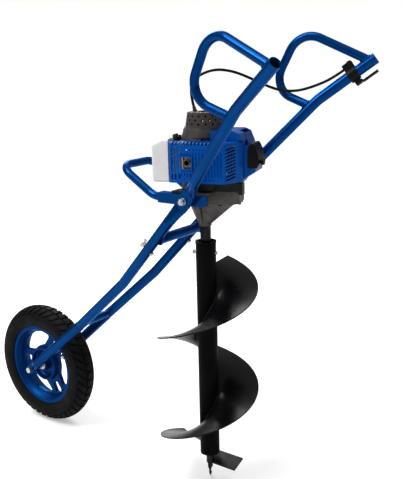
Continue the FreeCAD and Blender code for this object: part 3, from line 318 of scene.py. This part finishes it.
def auger_paint(name, shine, gloss, edge_wear_and_highlight=None):
    surface = Surface(name, 0.34, Specular_IOR_Level=shine)
    surface.colour((0.0016, 0.0016, 0.0022), (0.0050, 0.0048, 0.0062), scale=7, detail=5)
    surface.gloss(*gloss, scale=22)
    if edge_wear_and_highlight:
        # lighter convex edges: wear, and a painted highlight on the flight's lit edges
        surface.wear_and_edge_highlight(edge_wear_and_highlight)
    surface.grain(scale=520, distance=0.0002, strength=0.3)
    return surface.grain(scale=22, distance=0.0012, strength=0.2).mat


RECIPES = {
    "frame_paint": (blue_enamel, dict(
        deep=(0.0004, 0.036, 0.165), bright=(0.0010, 0.054, 0.225), rough=0.18)),
    "rim_paint": (blue_enamel, dict(
        deep=(0.0004, 0.030, 0.145), bright=(0.0010, 0.045, 0.190), rough=0.42)),
    "zinc_steel": (metal, dict(
        deep=(0.55, 0.55, 0.54), bright=(0.75, 0.74, 0.70), rough=0.3)),
    "black_plastic": (moulded, dict(
        deep=(0.002, 0.002, 0.003), bright=(0.005, 0.005, 0.006), rough=0.4, shine=0.12)),
    "grey_plastic": (moulded, dict(
        deep=(0.034, 0.027, 0.026), bright=(0.056, 0.046, 0.044), rough=0.46, grain=0.0003)),
    "button_red": (moulded, dict(
        deep=(0.40, 0.012, 0.010), bright=(0.50, 0.018, 0.014), rough=0.35)),
    "cable_sheath": (moulded, dict(
        deep=(0.002, 0.002, 0.003), bright=(0.004, 0.004, 0.005), rough=0.42, grain=0.0002,
        shine=0.12)),
    "tyre_rubber": (rubber, dict(
        deep=(0.0022, 0.0022, 0.0025), bright=(0.0052, 0.0052, 0.0056),
        dust=(0.011, 0.010, 0.0095))),
    "bearing_steel": (metal, dict(
        deep=(0.35, 0.35, 0.36), bright=(0.5, 0.5, 0.5), rough=0.25)),
    "black_rubber": (moulded, dict(
        deep=(0.004, 0.004, 0.004), bright=(0.009, 0.009, 0.009), rough=0.6, grain=0.0003,
        shine=0.15)),
    "cast_alloy": (cast, dict(
        deep=(0.060, 0.053, 0.050), bright=(0.115, 0.104, 0.100), metallic=0.5, rough=0.46)),
    "black_casting": (cast, dict(
        deep=(0.004, 0.004, 0.006), bright=(0.010, 0.010, 0.012), metallic=0.2, rough=0.46)),
    "machined_steel": (metal, dict(
        deep=(0.012, 0.012, 0.014), bright=(0.03, 0.03, 0.032), rough=0.35)),
    "burnt_steel": (metal, dict(
        deep=(0.16, 0.11, 0.07), bright=(0.30, 0.24, 0.19), rough=0.45)),
    "cover_plastic": (moulded, dict(
        deep=(0.0003, 0.062, 0.335), bright=(0.0008, 0.084, 0.42), rough=0.28,
        sheen=BLUE_SHEEN)),
    "shroud_plastic": (moulded, dict(
        deep=(0.0003, 0.056, 0.31), bright=(0.0008, 0.076, 0.385), rough=0.3,
        sheen=BLUE_SHEEN)),
    "tank_plastic": (clear_plastic, dict(
        deep=(0.72, 0.71, 0.72), bright=(0.80, 0.79, 0.79))),
    # the flight's lighter edge tone is wear and a painted highlight on its edges
    "auger_paint": (auger_paint, dict(
        shine=0.12, gloss=(0.2, 0.3), edge_wear_and_highlight=(0.050, 0.048, 0.052))),
    "blade_steel": (cast, dict(
        deep=(0.012, 0.012, 0.014), bright=(0.032, 0.031, 0.033), metallic=0.4, rough=0.42)),
}
MATERIALS = {name: make(name, **settings) for name, (make, settings) in RECIPES.items()}
slot_of = {sub["node"]: sub["material_slot"] for sub in frame["record"]["subparts"]}
for name, obj in nodes.items():
    obj.data.materials.clear()
    obj.data.materials.append(MATERIALS[slot_of[name]])
nodes["auger_stem"].data.materials[0] = auger_paint("stem_paint", shine=0.03, gloss=(0.32, 0.5))


# ---------------------------------------------------------------- throttle cable

CABLE_ROUTE = [
    (-0.0374, 0.0070, 1.1616), (-0.0485, 0.0082, 1.1937), (-0.055, 0.022, 1.230),
    (-0.040, 0.044, 1.252), (-0.006, 0.070, 1.266), (0.034, 0.100, 1.260),
    (0.072, 0.132, 1.240), (0.108, 0.158, 1.218), (0.146, 0.181, 1.201),
    (0.192, 0.196, 1.199), (0.238, 0.209, 1.211),
    (0.2866, 0.2312, 1.2326), (0.3183, 0.2439, 1.2571)]
CABLE_RADIUS = 0.004


def throttle_cable():
    """Tube along a smooth spline."""
    data = bpy.data.curves.new("cable_route", "CURVE")
    data.dimensions = "3D"
    data.bevel_resolution = 6
    data.resolution_u = 16
    data.use_fill_caps = True
    spline = data.splines.new("NURBS")
    spline.points.add(len(CABLE_ROUTE) - 1)
    for number, place in enumerate(CABLE_ROUTE):
        spline.points[number].co = (*place, 1)
    spline.order_u = 3
    spline.use_endpoint_u = True
    guide = bpy.data.objects.new("cable_route", data)
    line = [tuple(v.co) for v in bpy.data.meshes.new_from_object(guide).vertices]
    data.bevel_depth = CABLE_RADIUS
    tube = bpy.data.meshes.new_from_object(guide)
    bpy.data.objects.remove(guide)
    tube.shade_smooth()
    tube.materials.clear()
    tube.materials.append(MATERIALS["cable_sheath"])
    cable = link("cable_sheath", tube)
    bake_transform(cable)
    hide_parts("throttle_cable")


# ---------------------------------------------------------------- tyre

# the section is a circle round the wheel; angles across it are in degrees from its crown
SECTION_MIDDLE, SECTION_RADIUS, BEAD_RADIUS = 0.172, 0.045, 0.147
TREAD_BASE, WALL_OUTSIDE, WALL_INSIDE = 0.0405, 0.044, 0.038
SHOULDER, SHOULDER_RAMP = 62, 2
WALL_RINGS, RING_RISE = ((70, 72.5), (104, 106.5), (112, 117)), 0.0009
OUTSIDE_STEPS, INSIDE_STEPS, ROUND_STEPS = 62, 16, 144

PITCHES = 44
CROWN_BLOCK, CROWN_WIDTH = (-15, 15), 0.76
SHOULDER_BLOCK, SHOULDER_WIDTH, SHOULDER_LEAN = (20, 61), 0.70, 0.8
STAGGER = {NEAR: 0.25, FAR: 0.75}
BLOCK_ROWS, BLOCK_COLUMNS, BLOCK_CURVE = 6, 3, 1.6
BLOCK_ROOT = 0.0395
BLOCK_ROUNDING = 0.0009


def on_section(over, depth):
    """Radius and distance along the axle of a point of the tyre's section."""
    angle = math.radians(over)
    return SECTION_MIDDLE + depth * math.cos(angle), depth * math.sin(angle)


def on_tyre(around, over, depth):
    """The same point some degrees round the wheel."""
    turned = math.radians(around)
    radius, along = on_section(over, depth)
    return AXLE + Vector((radius * math.cos(turned), along, radius * math.sin(turned)))


def bead_angle(depth):
    return math.degrees(math.acos((BEAD_RADIUS - SECTION_MIDDLE) / depth))


def carcass_profile():
    """Outer section with a sunk tread band and raised rings on the walls, then the inner wall."""
    profile = []
    for step in range(-OUTSIDE_STEPS, OUTSIDE_STEPS + 1):
        over = bead_angle(SECTION_RADIUS) * step / OUTSIDE_STEPS
        climbed = (abs(over) - SHOULDER + SHOULDER_RAMP) / (2 * SHOULDER_RAMP)
        depth = TREAD_BASE + min(max(climbed, 0), 1) * (WALL_OUTSIDE - TREAD_BASE)
        if any(low < abs(over) < high for low, high in WALL_RINGS):
            depth += RING_RISE
        profile.append(on_section(over, depth))
    for step in range(INSIDE_STEPS, -INSIDE_STEPS - 1, -1):
        profile.append(on_section(bead_angle(WALL_INSIDE) * step / INSIDE_STEPS, WALL_INSIDE))
    return profile


def tread_block(verts, faces, around, width, low, high, lean):
    """One block of tread: a curved patch with walls, leaning round the wheel as it goes outward."""
    first = len(verts)
    for depth in (SECTION_RADIUS, BLOCK_ROOT):
        for row in range(BLOCK_ROWS):
            share = row / (BLOCK_ROWS - 1)
            over = low + (high - low) * share
            sweep = lean * share ** BLOCK_CURVE
            for column in range(BLOCK_COLUMNS):
                spot = around + sweep + width * (column / (BLOCK_COLUMNS - 1) - 0.5)
                verts.append(on_tyre(spot, over, depth))

    def at(row, column, below):
        return first + (below * BLOCK_ROWS + row) * BLOCK_COLUMNS + column

    last_row, last_column = BLOCK_ROWS - 1, BLOCK_COLUMNS - 1
    for row in range(last_row):
        for column in range(last_column):
            quad = [(row, column), (row + 1, column), (row + 1, column + 1), (row, column + 1)]
            faces.append([at(*spot, 0) for spot in quad])
            faces.append([at(*spot, 1) for spot in reversed(quad)])
    ring = ([(row, 0) for row in range(last_row)]
            + [(last_row, column) for column in range(last_column)]
            + [(row, last_column) for row in range(last_row, 0, -1)]
            + [(0, column) for column in range(last_column, 0, -1)])
    for here, after in zip(ring, ring[1:] + ring[:1]):
        faces.append([at(*here, 0), at(*after, 0), at(*after, 1), at(*here, 1)])


def tyre():
    verts, faces = lathe(carcass_profile(), AXLE, Y, X, ROUND_STEPS)
    carcass = mesh_piece("tyre_carcass", verts, faces, "wheel", "tyre_rubber")
    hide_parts("tyre")
    verts, faces = [], []
    pitch = 360 / PITCHES
    for number in range(PITCHES):
        tread_block(verts, faces, number * pitch, pitch * CROWN_WIDTH, *CROWN_BLOCK, 0.0)
        for which, stagger in STAGGER.items():
            inner, outer = (which * over for over in SHOULDER_BLOCK)
            tread_block(verts, faces, (number + stagger) * pitch, pitch * SHOULDER_WIDTH,
                        inner, outer, pitch * SHOULDER_LEAN)
    blocks = mesh_piece("tyre_tread", verts, faces, "wheel", "tyre_rubber")
    rounded(blocks, BLOCK_ROUNDING, 1)


# ---------------------------------------------------------------- weld beads

WELD_RADIUS, WIDE_WELD_RADIUS = 0.0026, 0.0028
RIPPLE = (0.82, 1.12)
SEAM_STEPS = 64

CROSSBAR, CROSSBAR_RADIUS = Vector((-0.098, 0, 0.782)), 0.015
BRIDGE_SHARE, BRIDGE_RADIUS = 0.07, 0.0125
LOOP_LOW, LOOP_LOW_SHARE = Vector((0.105, 0.206, 1.204)), 0.066
LOOP_HIGH, LOOP_HIGH_SHARE = Vector((0.189, 0.222, 1.373)), 0.92
LOOP_RADIUS = 0.0125

# the flight's inner edge, as in the CAD: degrees round the stem, metres up it
FLIGHT_START, FLIGHT_TURN = 100, 660
FLIGHT_PITCH, FLIGHT_LEVEL = 0.322, 0.5946
FLIGHT_STEPS = 220
STEM_SEAM = 0.0312
SEAM_LIFTS = {"flight_weld_above": 0.0045, "flight_weld_below": -0.0005}


def weld(name, points, radius, body, slot, cyclic):
    """A weld seam: a thin rippled rope along the joint."""
    data = bpy.data.curves.new(name, "CURVE")
    data.dimensions = "3D"
    data.bevel_depth = radius
    data.bevel_resolution = 3
    data.use_fill_caps = not cyclic
    spline = data.splines.new("POLY")
    spline.points.add(len(points) - 1)
    for number, point in enumerate(points):
        spline.points[number].co = (*point, 1)
        spline.points[number].radius = RIPPLE[number % 2]
    spline.use_cyclic_u = cyclic
    spline.use_smooth = True
    data.materials.append(MATERIALS[slot])
    obj = link(name, data)
    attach(obj, body)


def meeting(point, direction, radius, arm_point, arm_direction):
    """Where a thin tube's skin runs into an arm tube's, as points round the thin tube."""
    direction, arm_direction = direction.normalized(), arm_direction.normalized()
    first = direction.orthogonal().normalized()
    second = direction.cross(first)
    found = []
    run = direction - arm_direction * direction.dot(arm_direction)
    for step in range(SEAM_STEPS):
        angle = math.tau * step / SEAM_STEPS
        out = first * math.cos(angle) + second * math.sin(angle)
        start = point + out * radius - arm_point
        flat = start - arm_direction * start.dot(arm_direction)
        half = flat.dot(run) / run.dot(run)
        rest = (flat.dot(flat) - ARM_RADIUS ** 2) / run.dot(run)
        reach = -half - math.sqrt(max(half * half - rest, 0))
        found.append(start + arm_point + direction * reach)
    return found


def frame_welds():
    """Seams of the crossbar, the fork bridge and the hand loops on the arm tubes."""
    for which, word in ((NEAR, "near"), (FAR, "far")):
        neck, knee, pivot, elbow, grip, loop_low, loop_high = (
            mirrored(spot, which)
            for spot in (NECK, KNEE, PIVOT, ELBOW, GRIP, LOOP_LOW, LOOP_HIGH))
        bridge = neck + (knee - neck) * BRIDGE_SHARE
        low = elbow + (pivot - elbow) * LOOP_LOW_SHARE
        high = elbow + (grip - elbow) * LOOP_HIGH_SHARE
        seams = (
            ("crossbar_weld", WIDE_WELD_RADIUS,
             CROSSBAR, Y * which, CROSSBAR_RADIUS, knee, pivot - knee),
            ("bridge_weld", WELD_RADIUS,
             Vector((bridge.x, 0, bridge.z)), Y * which, BRIDGE_RADIUS, neck, knee - neck),
            ("loop_weld_low", WELD_RADIUS,
             loop_low, low - loop_low, LOOP_RADIUS, pivot, elbow - pivot),
            ("loop_weld_high", WELD_RADIUS,
             loop_high, high - loop_high, LOOP_RADIUS, elbow, grip - elbow),
        )
        for name, width, *tubes in seams:
            weld(f"{name}_{word}", meeting(*tubes), width, "frame", "frame_paint", True)


def flight_welds():
    """Seams between the auger's stem and the flight, above and below the strip."""
    for name, lift in SEAM_LIFTS.items():
        points = []
        for step in range(FLIGHT_STEPS + 1):
            angle = FLIGHT_START - FLIGHT_TURN * step / FLIGHT_STEPS
            turned = math.radians(angle)
            up = FLIGHT_LEVEL + angle / 360 * FLIGHT_PITCH + lift
            points.append(Vector((STEM_SEAM * math.cos(turned), STEM_SEAM * math.sin(turned), up)))
        weld(name, points, WELD_RADIUS, "auger", "auger_paint", False)


# ---------------------------------------------------------------- rounded castings and mouldings

SOFTENED = {
    "fan_shroud": 0.0040, "air_filter_case": 0.0016, "fuel_tank": 0.0020,
    "recoil_housing": 0.0006, "crankcase": 0.0014, "gearbox_case": 0.0016,
    "gearbox_nose": 0.0014, "clutch_housing": 0.0014, "fuel_cap": 0.0008,
    "filter_knob": 0.0008, "starter_grip": 0.0020, "rim": 0.0022, "cradle_plate": 0.0006,
    "near_cradle_rail": 0.0024, "far_cradle_rail": 0.0024, "auger_blade": 0.0010,
    "auger_stem": 0.0012, "hex_nuts": 0.0006, "pivot_bolts": 0.0006, "wing_nuts": 0.0010,
    "joint_bolts": 0.0005, "axle_bolt": 0.0006, "axle_spacers": 0.0006,
    "throttle_clamp": 0.0016, "throttle_lever": 0.0014, "stop_button": 0.0010,
    "gearbox_bolts": 0.0005, "near_fork_leg": 0.0010, "far_fork_leg": 0.0010,
    "drive_pin": 0.0006, "pilot_tip": 0.0005, "auger_flight": 0.0008,
}
COVER_ROUNDING = 0.0009


def soften_all():
    """The cover has too many holes in its faces for joining them, which breaks their shading."""
    for node, width in SOFTENED.items():
        soften(node, width)
    soften("cylinder_cover", COVER_ROUNDING, whole_faces=False)


# ---------------------------------------------------------------- floor and light

FLOOR_REACH, FLOOR_LEVEL = 60, -0.0005
FLOOR_GLOW = 0.38  # to the camera only, so that the floor goes as white as in the photograph
SKY_RISE = {"From Min": 0.05, "From Max": 0.85, "To Min": 0.10, "To Max": 0.62}


def floor():
    mesh = bpy.data.meshes.new("floor")
    corners = ((-1, -1), (1, -1), (1, 1), (-1, 1))
    mesh.from_pydata([(x * FLOOR_REACH, y * FLOOR_REACH, FLOOR_LEVEL) for x, y in corners],
                     [], [(0, 1, 2, 3)])
    surface = Surface("floor", 0.7, Emission_Color=WHITE)
    surface.colour((0.84, 0.84, 0.84), (0.87, 0.87, 0.87), scale=1.5)
    seen = surface.add("ShaderNodeLightPath").outputs["Is Camera Ray"]
    surface.join(surface.spread(seen, 0.0, 1.0, to_high=FLOOR_GLOW),
                 surface.shader.inputs["Emission Strength"])
    mesh.materials.append(surface.mat)
    link("floor", mesh)


def lamp(name, kind, direction, power, **settings):
    data = bpy.data.lights.new(name, kind)
    data.energy = power
    for key, value in settings.items():
        setattr(data, key, value)
    light = link(name, data)
    light.rotation_euler = direction.to_track_quat("-Z", "Y").to_euler()
    return light


def area_light(name, place, target, width, power):
    light = lamp(name, "AREA", Vector(target) - Vector(place), power, size=width)
    light.location = place


def studio_world():
    """White behind the object, and a softer light that brightens towards the top."""
    world = bpy.data.worlds.new("studio")
    bpy.context.scene.world = world
    world.use_nodes = True
    tree = world.node_tree
    background = tree.nodes["Background"]
    background.inputs["Color"].default_value = WHITE
    parts = tree.nodes.new("ShaderNodeSeparateXYZ")
    direction = tree.nodes.new("ShaderNodeTexCoord").outputs["Generated"]
    tree.links.new(direction, parts.inputs["Vector"])
    rising = tree.nodes.new("ShaderNodeMapRange")
    for socket, value in SKY_RISE.items():
        rising.inputs[socket].default_value = value
    tree.links.new(parts.outputs["Z"], rising.inputs["Value"])
    strength = tree.nodes.new("ShaderNodeMix")
    seen = tree.nodes.new("ShaderNodeLightPath").outputs["Is Camera Ray"]
    tree.links.new(seen, strength.inputs["Factor"])
    tree.links.new(rising.outputs["Result"], strength.inputs["A"])
    strength.inputs["B"].default_value = 1.0
    tree.links.new(strength.outputs["Result"], background.inputs["Strength"])


# ---------------------------------------------------------------- the whole scene

photo_camera()
throttle_cable()
tyre()
frame_welds()
flight_welds()
soften_all()
floor()
lamp("overhead", "SUN", Vector((0.25, 0.35, -1)), power=1.25, angle=math.radians(35))
area_light("key", place=(-1.3, -2.2, 3.4), target=(0, 0, 0.7), width=1.0, power=46)
area_light("back", place=(-2.4, 1.9, 2.8), target=(0, 0, 0.8), width=1.7, power=62)
studio_world()
bpy.context.scene.view_settings.view_transform = "Standard"
